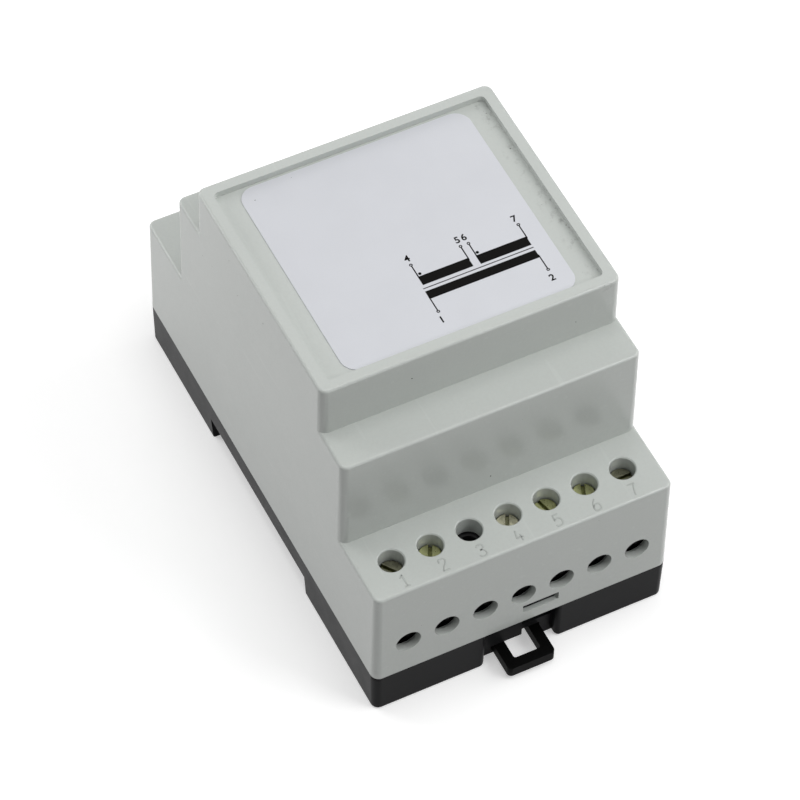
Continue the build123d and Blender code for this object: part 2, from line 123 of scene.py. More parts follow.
class TransformerCase(bpy.types.PropertyGroup):
    cover_edge: length("Cover edge", "Rounding of the cover's sharp edges", 0.00012)
    base_edge: length("Base edge", "Rounding of the base's sharp edges", 0.00012)
    small_edge: length("Small edge", "Rounding of the latch and the screws", 0.00007)
    cover_colour: colour("Cover", "Light grey of the cover", (0.755, 0.772, 0.757))
    base_colour: colour("Base", "Dark grey of the base", (0.125, 0.125, 0.13))
    latch_colour: colour("Latch", "Black of the rail latch", (0.02, 0.02, 0.02))
    dust_colour: colour("Dust", "Dark specks on the cover and label", (0.17, 0.16, 0.14))
    number_height: length("Number height", "Height of the raised numbers on the deck", 0.0022)
    number_relief: length("Number relief", "How far the raised numbers stand proud", 0.00007)
    number_stroke: length("Number stroke", "Thickness of the raised numbers' round strokes", 0.0007)


class TransformerPrint(bpy.types.PropertyGroup):
    label_edge: length("Label edge", "Rounding of the label's edges", 0.00003)
    label_colour: colour("Label", "Silver-white film of the label", (0.818, 0.825, 0.845))
    ink_colour: colour("Ink", "Black ink of the schematic", (0.045, 0.042, 0.04))
    ink_thickness: length("Ink thickness", "Thickness of the printed ink", 0.000012)
    line_width: length("Line width", "Width of the schematic's thin lines", 0.0002)
    digit_weight: length("Digit weight", "How much the terminal numbers are emboldened", 0.00004)
    digit_height: length("Digit height", "Height of the terminal numbers on the label", 0.0013)


class TransformerStage(bpy.types.PropertyGroup):
    floor_reach: length("Floor reach", "Half the side of the floor", 3.0, 10.0)
    lens: bpy.props.FloatProperty(
        name="Lens", description="Focal length of the camera", default=187.2, unit="CAMERA"
    )
    overhead_power: power("Overhead power", "Power of the softbox above", 0.85)
    rear_power: power("Rear power", "Power of the large softbox high behind", 0.6)
    left_power: power("Left power", "Power of the softbox low at the left", 0.5)
    front_power: power("Front power", "Power of the softbox in front, to the right", 0.68)
    right_power: power("Right power", "Power of the softbox at the right", 0.38)
    sky: share("Sky", "Strength of the even light from all round", 0.3)
    floor_bounce: share("Floor bounce", "Share of its light that the floor sends back up", 0.42)
    floor_white: share("Floor white", "Paleness of the floor as it is seen", 0.82)
    floor_lift: share("Floor lift", "Glow of the floor as it is seen, which thins the shadow", 0.4)


def case_settings():
    return bpy.context.scene.transformer_case


def print_settings():
    return bpy.context.scene.transformer_print


def stage_settings():
    return bpy.context.scene.transformer_stage


# Selecting and finishing
def clear_selection():
    if bpy.context.object and bpy.context.object.mode != "OBJECT":
        bpy.ops.object.mode_set(mode="OBJECT")
    bpy.ops.object.select_all(action="DESELECT")


def make_active(piece):
    clear_selection()
    piece.select_set(True)
    bpy.context.view_layer.objects.active = piece


def apply_place(piece):
    make_active(piece)
    bpy.ops.object.transform_apply(location=True, rotation=True, scale=True)


# Points nearer than this are one, and faces that turn less than this are flat
merge_distance = 0.000002
flat_turn = radians(0.4)


def merged_copy(node, name):
    """A node's triangles as one closed mesh of merged faces, in a fresh object."""
    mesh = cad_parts[node].data.copy()
    mesh.name = name
    mesh.materials.clear()
    piece = bpy.data.objects.new(name, mesh)
    bpy.context.scene.collection.objects.link(piece)
    make_active(piece)
    if mesh.has_custom_normals:
        bpy.ops.mesh.customdata_custom_splitnormals_clear()
    bpy.ops.object.mode_set(mode="EDIT")
    bpy.ops.mesh.select_all(action="SELECT")
    bpy.ops.mesh.remove_doubles(threshold=merge_distance)
    bpy.ops.mesh.dissolve_limited(angle_limit=flat_turn)
    bpy.ops.object.mode_set(mode="OBJECT")
    return piece


def soften(piece, width, angle=35.0, segments=2):
    """Rounds the edges sharper than an angle and smooths the shading between them."""
    make_active(piece)
    bevel = piece.modifiers.new("rounded edges", "BEVEL")
    bevel.limit_method = "ANGLE"
    bevel.angle_limit = radians(angle)
    bevel.width = width
    bevel.segments = segments
    bevel.use_clamp_overlap = True
    bpy.ops.object.modifier_apply(modifier=bevel.name)
    smooth(piece)


def smooth(piece, angle=40.0):
    make_active(piece)
    bpy.ops.object.shade_smooth_by_angle(angle=radians(angle))
    weights = piece.modifiers.new("even shading", "WEIGHTED_NORMAL")
    weights.keep_sharp = True
    bpy.ops.object.modifier_apply(modifier=weights.name)


def dress(piece, body, material):
    """Gives a piece its material and its body."""
    piece.data.materials.clear()
    piece.data.materials.append(material)
    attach(piece, body)


def join_all(pieces, name):
    """Joins pieces into one, under a new name."""
    clear_selection()
    for piece in pieces:
        piece.select_set(True)
    bpy.context.view_layer.objects.active = pieces[0]
    bpy.ops.object.join()
    joined = bpy.context.object
    joined.name = name
    joined.data.name = name
    return joined


# Building a finish from nodes
class Finish:
    """A node material whose patterns lie on Object coordinates, in metres."""

    def __init__(self, name):
        self.material = bpy.data.materials.new(name)
        self.material.use_nodes = True
        self.tree = self.material.node_tree
        self.shader = self.tree.nodes["Principled BSDF"]
        self.place = self.node("ShaderNodeTexCoord").outputs["Object"]

    def node(self, kind, inputs=None, **settings):
        made = self.tree.nodes.new(kind)
        for key, value in settings.items():
            setattr(made, key, value)
        for key, value in (inputs or {}).items():
            if isinstance(value, bpy.types.NodeSocket):
                self.tree.links.new(value, made.inputs[key])
            else:
                made.inputs[key].default_value = value
        return made

    def set(self, **values):
        for key, value in values.items():
            self.shader.inputs[key.replace("_", " ")].default_value = value

    def link(self, socket, target):
        self.tree.links.new(socket, self.shader.inputs[target])

    def axis(self, name):
        split = self.node("ShaderNodeSeparateXYZ", {"Vector": self.place})
        return split.outputs[name]

    def stretched(self, x, y, z):
        made = self.node("ShaderNodeMapping", {"Vector": self.place, "Scale": (x, y, z)})
        return made.outputs["Vector"]

    def grain(self, size, detail=2.0, rough=0.5, place=None):
        made = self.node(
            "ShaderNodeTexNoise",
            {
                "Vector": place or self.place, "Scale": 1.0 / size,
                "Detail": detail, "Roughness": rough,
            },
        )
        return made.outputs["Fac"]

    def level(self, value, low, high, to_low=0.0, to_high=1.0):
        made = self.node(
            "ShaderNodeMapRange",
            {
                "Value": value, "From Min": low, "From Max": high,
                "To Min": to_low, "To Max": to_high,
            },
            clamp=True,
        )
        return made.outputs["Result"]

    def maths(self, operation, a, b=0.0):
        made = self.node("ShaderNodeMath", {0: a, 1: b}, operation=operation)
        return made.outputs["Value"]

    def product(self, first, *others):
        for other in others:
            first = self.maths("MULTIPLY", first, other)
        return first

    def mix(self, amount, a, b):
        made = self.node("ShaderNodeMix", {"Factor": amount}, data_type="RGBA")
        for index, value in ((6, a), (7, b)):
            if isinstance(value, bpy.types.NodeSocket):
                self.tree.links.new(value, made.inputs[index])
            else:
                made.inputs[index].default_value = value
        return made.outputs[2]

    def bump(self, height, distance, strength=1.0, under=None):
        inputs = {"Height": height, "Distance": distance, "Strength": strength}
        if under is not None:
            inputs["Normal"] = under
        return self.node("ShaderNodeBump", inputs).outputs["Normal"]

    def specks(self, cell, radius, threshold):
        """Round specks, one at most in a cell, kept where its number passes the threshold."""
        cells = self.node(
            "ShaderNodeTexVoronoi", {"Vector": self.place, "Scale": 1.0 / cell, "Randomness": 1.0}
        )
        number = self.node("ShaderNodeSeparateColor", {"Color": cells.outputs["Color"]})
        size = self.level(number.outputs["Green"], 0.0, 1.0, 0.4 * radius / cell, radius / cell)
        inside = self.maths("LESS_THAN", cells.outputs["Distance"], size)
        chosen = self.maths("GREATER_THAN", number.outputs["Red"], threshold)
        return self.maths("MULTIPLY", inside, chosen)


def moulded_plastic(name, colour, rough, depth, dust=None, sheen=0.5):
    """Spark-textured moulding: fine relief, faint clouds of tone and, if asked, dust."""
    finish = Finish(name)
    clouds = finish.grain(0.014, 3.0)
    flecks = finish.grain(0.00045, 2.0)
    tone = finish.mix(finish.level(clouds, 0.3, 0.7), shade(colour, 0.985), shade(colour, 1.012))
    tone = finish.mix(finish.level(flecks, 0.35, 0.8, 0.0, 0.5), tone, shade(colour, 0.93))
    scratches = finish.grain(0.0011, 1.0, 0.4, finish.stretched(1.0, 0.06, 1.0))
    worn = finish.level(scratches, 0.70, 0.74, 0.0, 0.35)
    tone = finish.mix(worn, tone, shade(colour, 1.08))
    roughness = finish.level(finish.grain(0.0035, 3.0), 0.3, 0.7, rough - 0.02, rough + 0.03)
    if dust is not None:
        spots = dust(finish)
        tone = finish.mix(spots, tone, linear(case_settings().dust_colour))
        roughness = finish.maths("ADD", roughness, finish.maths("MULTIPLY", spots, 0.4))
    finish.link(tone, "Base Color")
    finish.link(roughness, "Roughness")
    fine = finish.bump(finish.grain(0.00016, 2.0), depth, 0.5)
    finish.link(finish.bump(finish.grain(0.006, 1.0), depth, 0.12, fine), "Normal")
    finish.set(Specular_IOR_Level=sheen)
    return finish.material


def cover_dust(finish):
    """Few specks all over, and many at the foot of the recess's right-hand wall."""
    x, z = finish.axis("X"), finish.axis("Z")
    near = finish.level(x, case_point(21.4, 0, 0).x, case_point(23.4, 0, 0).x)
    inside = finish.level(x, case_point(24.2, 0, 0).x, case_point(24.5, 0, 0).x, 1.0, 0.0)
    over_floor = finish.level(z, case_point(0, 0, 57.8).z, case_point(0, 0, 58.0).z)
    under_rim = finish.level(z, case_point(0, 0, 59.1).z, case_point(0, 0, 59.3).z, 1.0, 0.0)
    drifts = finish.level(finish.grain(0.0045, 2.0), 0.36, 0.56)
    few = finish.specks(0.0026, 0.00013, 0.955)
    many = finish.specks(0.0008, 0.00017, 0.70)
    smudge = finish.level(finish.grain(0.0011, 5.0, 0.8), 0.52, 0.66, 0.0, 0.5)
    dirt = finish.maths("MAXIMUM", many, smudge)
    settled = finish.product(near, inside, over_floor, under_rim, drifts, dirt)
    return finish.maths("MAXIMUM", few, settled)


def label_dust(finish):
    return finish.specks(0.0036, 0.00011, 0.95)


# Darker, greener tone of the screws below a given height, reached over a short ramp
low_tint_colour = (0.36, 0.37, 0.17)
low_tint_ramp = 0.0003
low_tint_share = 0.55


def metal(name, colour, rough, tint=0.9, low_tint_below=None):
    """Metal with drawn or barrelled marks, clouds in the plating and, if asked, a darker, greener
    tone below a given height.
    """
    finish = Finish(name)
    marks = finish.grain(0.00025, 3.0, 0.6)
    clouds = finish.grain(0.0012, 3.0)
    tone = finish.mix(finish.level(clouds, 0.35, 0.7), linear(colour), shade(colour, tint))
    tone = finish.mix(finish.level(marks, 0.5, 0.75, 0.0, 0.45), tone, shade(colour, 0.62))
    # Darker and greener below the given height
    if low_tint_below is not None:
        low_tint = finish.level(
            finish.axis("Z"), low_tint_below - low_tint_ramp, low_tint_below, low_tint_share, 0.0
        )
        tone = finish.mix(low_tint, tone, linear(low_tint_colour))
    finish.link(tone, "Base Color")
    finish.link(finish.level(marks, 0.3, 0.7, rough - 0.08, rough + 0.12), "Roughness")
    finish.link(finish.bump(marks, 0.00002, 0.6), "Normal")
    finish.set(Metallic=1.0)
    return finish.material


def laminations(name, colour):
    """Edges of stacked sheets, half a millimetre each, under varnish."""
    finish = Finish(name)
    z = finish.axis("Z")
    sheets = finish.maths("PINGPONG", z, 0.00025)
    gap = finish.level(sheets, 0.0, 0.00005, 1.0, 0.0)
    rust = finish.level(finish.grain(0.004, 4.0, 0.65), 0.60, 0.72, 0.0, 0.5)
    tone = finish.mix(gap, linear(colour), shade(colour, 0.35))
    tone = finish.mix(rust, tone, linear((0.36, 0.24, 0.17)))
    finish.link(tone, "Base Color")
    finish.link(finish.level(finish.grain(0.0008, 3.0), 0.3, 0.7, 0.35, 0.6), "Roughness")
    finish.link(finish.bump(sheets, 0.00012, 0.8), "Normal")
    finish.set(Metallic=0.75)
    return finish.material


def wound_wire(name, colour):
    """Layer of enamelled wire, its turns side by side along X, with painted shade in the grooves
    between the turns.
    """
    finish = Finish(name)
    x = finish.axis("X")
    turns = finish.maths("PINGPONG", x, 0.00013)
    groove_painted_shade = finish.level(turns, 0.0, 0.00006, 1.0, 0.0)
    shift = finish.level(finish.grain(0.002, 2.0), 0.35, 0.7)
    tone = finish.mix(shift, linear(colour), shade(colour, 0.75))
    # Painted shade: the grooves between the turns are coloured darker
    tone = finish.mix(groove_painted_shade, tone, shade(colour, 0.3))
    finish.link(tone, "Base Color")
    finish.link(finish.level(shift, 0.0, 1.0, 0.24, 0.36), "Roughness")
    finish.link(finish.bump(turns, 0.00013, 0.9), "Normal")
    finish.set(Metallic=0.8, Coat_Weight=0.4, Coat_Roughness=0.15)
    return finish.material


def laminate_board(name, colour):
    """Circuit laminate: woven cloth under resin, with tiny pale flecks."""
    finish = Finish(name)
    x, y = finish.axis("X"), finish.axis("Y")
    weave_x = finish.maths("PINGPONG", x, 0.0003)
    weave_y = finish.maths("PINGPONG", y, 0.0003)
    weave = finish.product(finish.level(weave_x, 0.0, 0.0003), finish.level(weave_y, 0.0, 0.0003))
    flecks = finish.level(finish.grain(0.0006, 3.0), 0.55, 0.75, 0.0, 0.6)
    tone = finish.mix(weave, shade(colour, 0.82), shade(colour, 1.05))
    tone = finish.mix(flecks, tone, shade(colour, 1.25))
    finish.link(tone, "Base Color")
    finish.link(finish.level(flecks, 0.0, 0.6, 0.38, 0.55), "Roughness")
    finish.link(finish.bump(weave, 0.00003, 0.5), "Normal")
    return finish.material


def polyester_tape(name, colour):
    """Thin yellow film with soft creases across the wrap."""
    finish = Finish(name)
    creases = finish.grain(0.0012, 2.0, 0.5, finish.stretched(1.0, 0.25, 0.25))
    tone = finish.mix(finish.level(creases, 0.35, 0.7), shade(colour, 0.88), shade(colour, 1.05))
    finish.link(tone, "Base Color")
    finish.link(finish.level(creases, 0.3, 0.7, 0.18, 0.32), "Roughness")
    finish.link(finish.bump(creases, 0.00008, 0.5), "Normal")
    return finish.material


def label_film(name, colour):
    """Satin silver-white film with fine fibres of tone and a few specks of dust."""
    finish = Finish(name)
    clouds = finish.level(finish.grain(0.009, 3.0), 0.3, 0.7)
    paper = finish.level(finish.grain(0.00022, 2.0), 0.3, 0.75)
    tone = finish.mix(clouds, shade(colour, 0.975), shade(colour, 1.012))
    tone = finish.mix(finish.maths("MULTIPLY", paper, 0.35), tone, shade(colour, 0.95))
    tone = finish.mix(label_dust(finish), tone, linear(case_settings().dust_colour))
    finish.link(tone, "Base Color")
    finish.link(finish.level(paper, 0.0, 1.0, 0.40, 0.52), "Roughness")
    finish.link(finish.bump(paper, 0.000006, 0.4), "Normal")
    finish.set(Specular_IOR_Level=0.45)
    return finish.material


def printed_ink(name, colour):
    """Thermal print: slightly uneven black with pin-holes."""
    finish = Finish(name)
    holes = finish.level(finish.grain(0.00028, 3.0, 0.6), 0.66, 0.74, 0.0, 0.55)
    tone = finish.mix(holes, linear(colour), shade(colour, 6.0))
    finish.link(tone, "Base Color")
    finish.link(finish.level(finish.grain(0.002, 2.0), 0.3, 0.7, 0.5, 0.6), "Roughness")
    finish.set(Specular_IOR_Level=0.05)
    return finish.material


# Case mouldings: how deep the texture of each one is, in metres
cover_texture = 0.000004
base_texture = 0.000008
latch_texture = 0.00001


class TRANSFORMER_OT_cover(bpy.types.Operator):
    """Makes the light grey cover with rounded edges and a spark-textured finish"""

    bl_idname = "transformer.cover"
    bl_label = "Cover shell"

    def execute(self, context):
        case = case_settings()
        shell = merged_copy("cover", "cover_shell")
        soften(shell, case.cover_edge)
        material = moulded_plastic(
            "cover_plastic", case.cover_colour, 0.20, cover_texture, dust=cover_dust
        )
        dress(shell, "case", material)
        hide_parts("cover")
        return {"FINISHED"}


class TRANSFORMER_OT_base(bpy.types.Operator):
    """Makes the dark base tray with its rail channel"""

    bl_idname = "transformer.base"
    bl_label = "Base tray"

    def execute(self, context):
        case = case_settings()
        tray = merged_copy("base", "base_tray")
        soften(tray, case.base_edge)
        material = moulded_plastic("base_plastic", case.base_colour, 0.30, base_texture, sheen=0.04)
        dress(tray, "case", material)
        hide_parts("base")
        return {"FINISHED"}


class TRANSFORMER_OT_latch(bpy.types.Operator):
    """Makes the black rail latch with rounded edges"""

    bl_idname = "transformer.latch"
    bl_label = "Rail latch"

    def execute(self, context):
        case = case_settings()
        slide = merged_copy("rail_latch", "latch_slide_plate")
        soften(slide, case.small_edge)
        material = moulded_plastic(
            "latch_plastic", case.latch_colour, 0.5, latch_texture, sheen=0.05
        )
        dress(slide, "latch", material)
        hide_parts("rail_latch")
        return {"FINISHED"}


class TRANSFORMER_OT_spring(bpy.types.Operator):
    """Makes the latch's coil spring"""

    bl_idname = "transformer.spring"
    bl_label = "Latch spring"

    def execute(self, context):
        coil = merged_copy("latch_spring", "latch_coil")
        smooth(coil)
        steel = metal("spring_steel", (0.72, 0.72, 0.73), 0.28, tint=0.85)
        dress(coil, "case", steel)
        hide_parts("latch_spring")
        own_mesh(coil)
        return {"FINISHED"}


# Strokes of the raised numbers, in shares of their height; a doubled point makes a corner
number_strokes = {
    1: (
        ((0.06, 0.76), (0.18, 0.84), (0.30, 1.0), (0.30, 1.0), (0.30, 0.0)),
        ((0.08, 0.0), (0.52, 0.0)),
    ),
    2: (
        ((0.06, 0.74), (0.06, 1.0), (0.30, 1.02), (0.56, 0.98), (0.54, 0.62), (0.30, 0.42),
         (0.06, 0.0), (0.06, 0.0), (0.56, 0.0)),
    ),
    3: (
        ((0.05, 0.86), (0.14, 1.02), (0.34, 1.02), (0.56, 0.96), (0.54, 0.58), (0.24, 0.54)),
        ((0.24, 0.54), (0.58, 0.52), (0.60, 0.06), (0.32, -0.02), (0.10, 0.0), (0.03, 0.16)),
    ),
    4: (((0.20, 1.0), (0.05, 0.34), (0.05, 0.34), (0.58, 0.34)), ((0.40, 0.58), (0.40, 0.0))),
    5: (
        ((0.52, 1.0), (0.14, 1.0), (0.14, 1.0), (0.08, 0.54), (0.08, 0.54), (0.32, 0.68),
         (0.58, 0.56), (0.58, 0.06), (0.30, -0.02), (0.10, 0.0), (0.03, 0.14)),
    ),
    6: (
        ((0.42, 1.0), (0.16, 0.72), (0.04, 0.34), (0.06, -0.02), (0.32, -0.02), (0.58, 0.0),
         (0.58, 0.54), (0.32, 0.56), (0.14, 0.52), (0.07, 0.34)),
    ),
    7: (((0.05, 1.0), (0.56, 1.0), (0.56, 1.0), (0.34, 0.52), (0.24, 0.0)),),
}
number_shift = {1: 0.2, 2: 0.2, 3: -0.1, 4: -0.3, 5: -0.3, 6: -0.3, 7: -0.4}
number_foot = {1: -41.8, 2: -41.8, 3: -41.95, 4: -41.98, 5: -41.98, 6: -41.98, 7: -41.95}
number_width = 0.6
# Painted shade: the numbers are of the cover's own plastic, coloured darker by this factor to
# offset the highlights on their rounded backs
number_painted_shade = 0.93


def raised_number(number, height, relief, stroke):
    """One number of round strokes, sunk so that only their backs stand proud of the deck."""
    clear_selection()
    bpy.ops.curve.primitive_nurbs_path_add(location=(0, 0, 0))
    path = bpy.context.object
    path.data.splines.clear()
    for stroke_points in number_strokes[number]:
        spline = path.data.splines.new("NURBS")
        spline.points.add(len(stroke_points) - 1)
        for point, (x, y) in zip(spline.points, stroke_points):
            point.co = ((x - number_width / 2) * height, y * height, 0.0, 1.0)
        spline.order_u = min(3, len(stroke_points))
        spline.use_endpoint_u = True
        spline.resolution_u = 4
    path.data.dimensions = "3D"
    path.data.bevel_depth = stroke / 2
    path.data.bevel_resolution = 3
    path.data.use_fill_caps = True
    bpy.ops.object.convert(target="MESH")
    ridge = bpy.context.object
    foot = case_point(hole_x(number) + number_shift[number], number_foot[number], deck_level)
    ridge.location = (foot.x, foot.y, foot.z + relief - stroke / 2)
    apply_place(ridge)
    return ridge


class TRANSFORMER_OT_deck_numbers(bpy.types.Operator):
    """Raises the terminal numbers 1 to 7 on the deck in front of the screw holes"""

    bl_idname = "transformer.deck_numbers"
    bl_label = "Deck numbers"

    def execute(self, context):
        case = case_settings()
        ridges = [
            raised_number(number, case.number_height, case.number_relief, case.number_stroke)
            for number in number_strokes
        ]
        numbers = join_all(ridges, "deck_numbers")
        smooth(numbers, 60.0)
        # The cover's colour made darker, a painted shade against the highlights on the numbers
        tone = tuple(part * number_painted_shade for part in case.cover_colour)
        material = moulded_plastic("number_plastic", tone, 0.5, cover_texture, sheen=0.1)
        dress(numbers, "case", material)
        return {"FINISHED"}


# Height of the built-in typeface's figures, as a share of its size
cap_height = 0.73


def text_piece(word, height, relief, weight):
    """One printed digit as a mesh, its foot's middle on the origin and half its depth sunk."""
    clear_selection()
    bpy.ops.object.text_add(location=(0, 0, 0))
    text = bpy.context.object
    text.data.body = word
    text.data.align_x = "CENTER"
    text.data.size = height / cap_height
    text.data.extrude = relief
    text.data.offset = weight
    text.data.resolution_u = 6
    bpy.ops.object.convert(target="MESH")
    digit = bpy.context.object
    make_active(digit)
    bpy.ops.object.mode_set(mode="EDIT")
    bpy.ops.mesh.select_all(action="SELECT")
    bpy.ops.mesh.remove_doubles(threshold=1e-7)
    bpy.ops.mesh.normals_make_consistent(inside=False)
    bpy.ops.object.mode_set(mode="OBJECT")
    return digit


# Label
class TRANSFORMER_OT_label(bpy.types.Operator):
    """Gives the label its film finish"""

    bl_idname = "transformer.label"
    bl_label = "Label film"

    def execute(self, context):
        printed = print_settings()
        sheet = merged_copy("label", "label_sheet")
        soften(sheet, printed.label_edge)
        dress(sheet, "case", label_film("label_film", printed.label_colour))
        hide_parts("label")
        return {"FINISHED"}


# Bars and lines of the winding schematic, as x0, x1, y0, y1 in the case frame
bars = (
    (-2.0, 6.8, -9.52, -7.7),
    (8.05, 16.95, -9.65, -7.8),
    (-2.3, 16.95, -12.45, -10.82),
)
core_line = (-2.3, 17.0, -10.3, -10.14)
leads_up = ((-1.9, -7.65), (6.78, -7.65), (8.18, -7.75), (16.98, -7.75))
leads_down = ((-2.22, -12.4), (16.98, -12.4))
lead_top = -5.4
lead_bottom = -14.9
lead_overlap = 0.5
ring_radius = 0.29
ring_hollow = 0.12
dot_radius = 0.27
dots = ((-1.42, -7.25), (8.6, -7.32))
terminal_digits = (
    ("4", -1.9, -3.62), ("5", 6.88, -3.67), ("6", 8.05, -3.6), ("7", 16.9, -3.67),
    ("1", -2.45, -16.83), ("2", 16.8, -16.82),
)


def ink_plate(x0, x1, y0, y1, thickness):
    """Thin printed field, half its depth sunk in the label."""
    clear_selection()
    bpy.ops.mesh.primitive_cube_add(size=1.0, location=(0, 0, 0))
    plate = bpy.context.object
    centre = case_point((x0 + x1) / 2, (y0 + y1) / 2, 0)
    plate.scale = (abs(x1 - x0) * MM, abs(y1 - y0) * MM, 2 * thickness)
    plate.location = (centre.x, centre.y, label_high.z)
    apply_place(plate)
    return plate


def ink_disc(x, y, radius, thickness, hollow=0.0):
    """Printed dot, or an open circle when hollow."""
    clear_selection()
    centre = case_point(x, y, 0)
    bpy.ops.mesh.primitive_cylinder_add(
        vertices=24, radius=radius * MM, depth=2 * thickness,
        location=(centre.x, centre.y, label_high.z),
    )
    disc = bpy.context.object
    apply_place(disc)
    if hollow:
        bpy.ops.object.mode_set(mode="EDIT")
        bpy.ops.mesh.select_mode(type="FACE")
        bpy.ops.mesh.select_all(action="DESELECT")
        bpy.ops.object.mode_set(mode="OBJECT")
        for face in disc.data.polygons:
            face.select = abs(face.normal.z) > 0.5
        bpy.ops.object.mode_set(mode="EDIT")
        bpy.ops.mesh.inset(thickness=(radius - hollow) * MM, use_individual=True)
        bpy.ops.mesh.bridge_edge_loops()
        bpy.ops.object.mode_set(mode="OBJECT")
    return disc


class TRANSFORMER_OT_schematic(bpy.types.Operator):
    """Prints the winding schematic on the label: bars, lines, circles and terminal numbers"""

    bl_idname = "transformer.schematic"
    bl_label = "Winding schematic"

    def execute(self, context):
        printed = print_settings()
        ink = printed.ink_thickness
        half = printed.line_width / MM / 2
        plates = [ink_plate(*bar, ink) for bar in bars]
        plates.append(ink_plate(*core_line, ink))
        for x, foot in leads_up:
            plates.append(ink_plate(x - half, x + half, foot - lead_overlap, lead_top, ink))
        for x, foot in leads_down:
            plates.append(ink_plate(x - half, x + half, foot + lead_overlap, lead_bottom, ink))
        for x, _ in leads_up:
            plates.append(ink_disc(x, lead_top + ring_radius, ring_radius, ink, ring_hollow))
        for x, _ in leads_down:
            plates.append(ink_disc(x, lead_bottom - ring_radius, ring_radius, ink, ring_hollow))
        for x, y in dots:
            plates.append(ink_disc(x, y, dot_radius, ink))
        for word, x, y in terminal_digits:
            digit = text_piece(word, printed.digit_height, ink, printed.digit_weight)
            centre = case_point(x, y, 0)
            digit.location = (centre.x, centre.y - printed.digit_height / 2, label_high.z)
            apply_place(digit)
            plates.append(digit)
        schematic = join_all(plates, "winding_schematic")
        dress(schematic, "case", printed_ink("printed_ink", printed.ink_colour))
        return {"FINISHED"}


# Screws and the parts inside: the yellow plating differs from screw to screw
screw_tones = {
    "screw_green": (0.64, 0.65, 0.47),
    "screw_pale": (0.76, 0.75, 0.65),
    "screw_dull": (0.46, 0.46, 0.39),
}
head_level = 27.4
# How far under the head's top the screws start to turn darker and greener
untinted_top = 0.15
screw_finish = {
    1: "screw_dull", 2: "screw_green", 4: "screw_pale",
    5: "screw_green", 6: "screw_green", 7: "screw_dull",
}


class TRANSFORMER_OT_screws(bpy.types.Operator):
    """Makes the slotted terminal screws with rounded heads"""

    bl_idname = "transformer.screws"
    bl_label = "Terminal screws"

    def execute(self, context):
        case = case_settings()
        slot_top = case_point(0, 0, head_level - untinted_top).z
        finishes = {
            name: metal(name, tone, 0.32, tint=0.7, low_tint_below=slot_top)
            for name, tone in screw_tones.items()
        }
        for number in fitted:
            node = f"terminal_screw_{number}"
            screw = merged_copy(node, f"slotted_screw_{number}")
            soften(screw, case.small_edge)
            dress(screw, f"screw_{number}", finishes[screw_finish[number]])
            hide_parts(node)
        return {"FINISHED"}


class TRANSFORMER_OT_inside(bpy.types.Operator):
    """Gives the parts inside the case their finishes"""

    bl_idname = "transformer.inside"
    bl_label = "Inside parts"

    def execute(self, context):
        finishes = {
            "circuit_board": laminate_board("board_laminate", (0.72, 0.63, 0.38)),
            "terminal_block": moulded_plastic("block_plastic", (0.12, 0.12, 0.12), 0.5, 0.00001),
            "core_e": laminations("core_steel", (0.46, 0.47, 0.49)),
            "core_i": "core_steel",
            "core_screws": metal("zinc_steel", (0.80, 0.81, 0.82), 0.3, tint=0.85),
            "bobbin": moulded_plastic("bobbin_plastic", (0.87, 0.85, 0.78), 0.45, 0.00001),
            "bobbin_pins": metal("tinned_wire", (0.86, 0.86, 0.85), 0.25, tint=0.9),
            "primary_winding": wound_wire("copper_wire", (0.80, 0.44, 0.24)),
            "secondary_winding_1": "copper_wire",
            "secondary_winding_2": "copper_wire",
            "primary_tape": polyester_tape("tape_film", (0.92, 0.79, 0.30)),
            "interlayer_tape": "tape_film",
            "secondary_tape": "tape_film",
            "thermal_fuse": moulded_plastic("fuse_case", (0.89, 0.87, 0.80), 0.4, 0.00001),
        }
        for number in fitted:
            finishes[f"clamp_cage_{number}"] = "cage_steel"
            finishes[f"terminal_contact_{number}"] = "contact_brass"
        metal("cage_steel", (0.78, 0.78, 0.79), 0.3, tint=0.85)
        metal("contact_brass", (0.84, 0.78, 0.58), 0.3, tint=0.85)
        for node, material in finishes.items():
            if isinstance(material, str):
                material = bpy.data.materials[material]
            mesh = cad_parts[node].data
            mesh.materials.clear()
            mesh.materials.append(material)
        return {"FINISHED"}


# Stage
# Where each softbox stands and its two sides, in metres
softboxes = {
    "overhead": ((0.0, 0.0, 0.6), (0.3, 0.3)),
    "rear": ((0.0, 0.7, 0.7), (0.7, 0.5)),
    "left": ((-0.24, 0.28, 0.15), (0.2, 0.16)),
    "front": ((0.22, -0.25, 0.35), (0.2, 0.2)),
    "right": ((0.35, -0.05, 0.25), (0.25, 0.25)),
}
lit_point = Vector((0, 0, 0.02))


def softbox(name, place, size, power):
    """Rectangular lamp that faces the object."""
    data = bpy.data.lights.new(name, "AREA")
    data.shape = "RECTANGLE"
    data.size, data.size_y = size
    data.energy = power
    lamp = bpy.data.objects.new(name, data)
    bpy.context.scene.collection.objects.link(lamp)
    lamp.location = place
    lamp.rotation_euler = (lit_point - Vector(place)).to_track_quat("-Z", "Y").to_euler()
    return lamp


class TRANSFORMER_OT_stage(bpy.types.Operator):
    """Sets the pale floor, the softboxes, the even light and the camera"""

    bl_idname = "transformer.stage"
    bl_label = "Stage"

    def execute(self, context):
        stage = stage_settings()
        clear_selection()
        bpy.ops.mesh.primitive_plane_add(size=2 * stage.floor_reach, location=(0, 0, underside))
        floor = bpy.context.object
        floor.name = "studio_floor"
        floor.data.name = "studio_floor"
        apply_place(floor)
        floor.data.materials.append(
            floor_material(stage.floor_bounce, stage.floor_white, stage.floor_lift)
        )
        for name, (place, size) in softboxes.items():
            softbox(f"{name}_softbox", place, size, getattr(stage, f"{name}_power"))
        world_light(stage.sky)
        place_camera(stage.lens)
        bpy.context.scene.view_settings.view_transform = "Standard"
        return {"FINISHED"}


